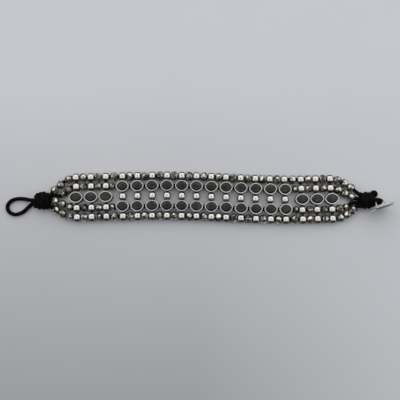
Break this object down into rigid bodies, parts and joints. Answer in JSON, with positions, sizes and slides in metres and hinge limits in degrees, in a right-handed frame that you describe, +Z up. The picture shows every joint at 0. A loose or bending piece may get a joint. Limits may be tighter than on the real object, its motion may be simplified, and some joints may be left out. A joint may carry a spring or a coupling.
{
  "type": "beaded leather bracelet",
  "caption": "Wide bracelet of leather strands through silver spacer bars with oval black stones and hammered beads, closed by a button and a leather loop.",
  "frame": {"origin": "on the surface that the bracelet lies on, under the middle of its outline", "axes": "+X along the band from the loop's end to the button's end, +Z up through the stones"},
  "size_m": [0.2042, 0.028, 0.0131],
  "materials": {
    "silver": "polished silver, worn, with dark tarnish in the grooves",
    "black_stone": "polished black stone",
    "beaded_leather": "hammered silver beads on round black leather",
    "leather": "round black leather, waxed"
  },
  "bodies": {
    "root": {"spacer_bar_01": "silver", "stone_01_row_3": "black_stone", "spacer_bar_02": "silver", "stone_02_row_3": "black_stone", "spacer_bar_03": "silver", "stone_03_row_3": "black_stone", "spacer_bar_04": "silver", "stone_04_row_2": "black_stone", "stone_04_row_4": "black_stone", "spacer_bar_05": "silver", "stone_05_row_2": "black_stone", "stone_05_row_4": "black_stone", "spacer_bar_06": "silver", "stone_06_row_2": "black_stone", "stone_06_row_4": "black_stone", "spacer_bar_07": "silver", "stone_07_row_2": "black_stone", "stone_07_row_4": "black_stone", "spacer_bar_08": "silver", "stone_08_row_2": "black_stone", "stone_08_row_4": "black_stone", "spacer_bar_09": "silver", "stone_09_row_2": "black_stone", "stone_09_row_4": "black_stone", "spacer_bar_10": "silver", "stone_10_row_2": "black_stone", "stone_10_row_4": "black_stone", "spacer_bar_11": "silver", "stone_11_row_2": "black_stone", "stone_11_row_4": "black_stone", "spacer_bar_12": "silver", "stone_12_row_2": "black_stone", "stone_12_row_4": "black_stone", "spacer_bar_13": "silver", "stone_13_row_2": "black_stone", "stone_13_row_4": "black_stone", "spacer_bar_14": "silver", "stone_14_row_2": "black_stone", "stone_14_row_4": "black_stone", "spacer_bar_15": "silver", "stone_15_row_2": "black_stone", "stone_15_row_4": "black_stone", "spacer_bar_16": "silver", "stone_16_row_3": "black_stone", "spacer_bar_17": "silver", "stone_17_row_3": "black_stone", "spacer_bar_18": "silver", "stone_18_row_3": "black_stone", "strand_row_1": "beaded_leather", "strand_row_2": "beaded_leather", "strand_row_4": "beaded_leather", "strand_row_5": "beaded_leather", "knot_left": "leather", "knot_right": "leather", "leather_loop": "leather", "button": "silver"}
  },
  "joints": []
}
